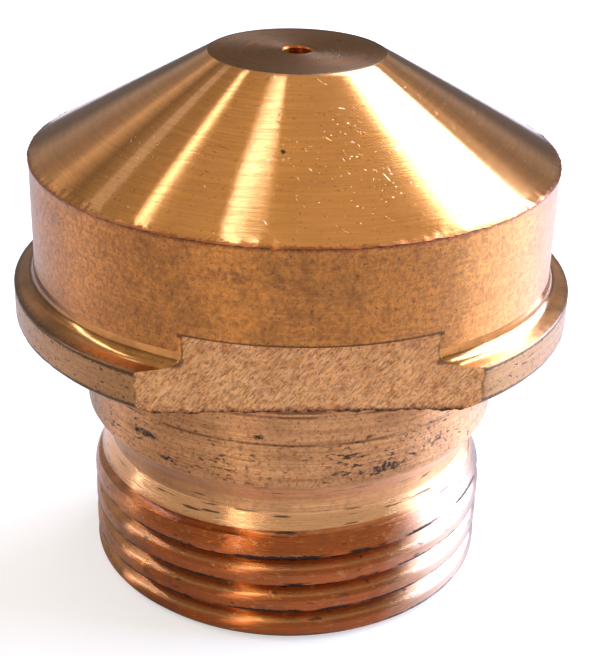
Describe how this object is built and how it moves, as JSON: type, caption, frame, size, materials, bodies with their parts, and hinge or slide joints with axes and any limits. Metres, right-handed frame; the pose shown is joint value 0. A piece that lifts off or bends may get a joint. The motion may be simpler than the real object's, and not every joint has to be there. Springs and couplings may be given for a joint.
{
  "type": "plasma torch nozzle",
  "caption": "Turned copper nozzle with a conical tip, a small arc orifice, a flange with wrench flats, a plain neck and an external thread.",
  "frame": {"origin": "centre of the thread-end face, which the part stands on", "axes": "+Z along the axis of the nozzle towards its tip; the two wrench flats face -Y and +Y"},
  "size_m": [0.027, 0.025, 0.026],
  "materials": {
    "turned_copper": "turned, part polished and part matt copper with light wear"
  },
  "bodies": {
    "root": {"nozzle_body": "turned_copper"}
  },
  "joints": []
}
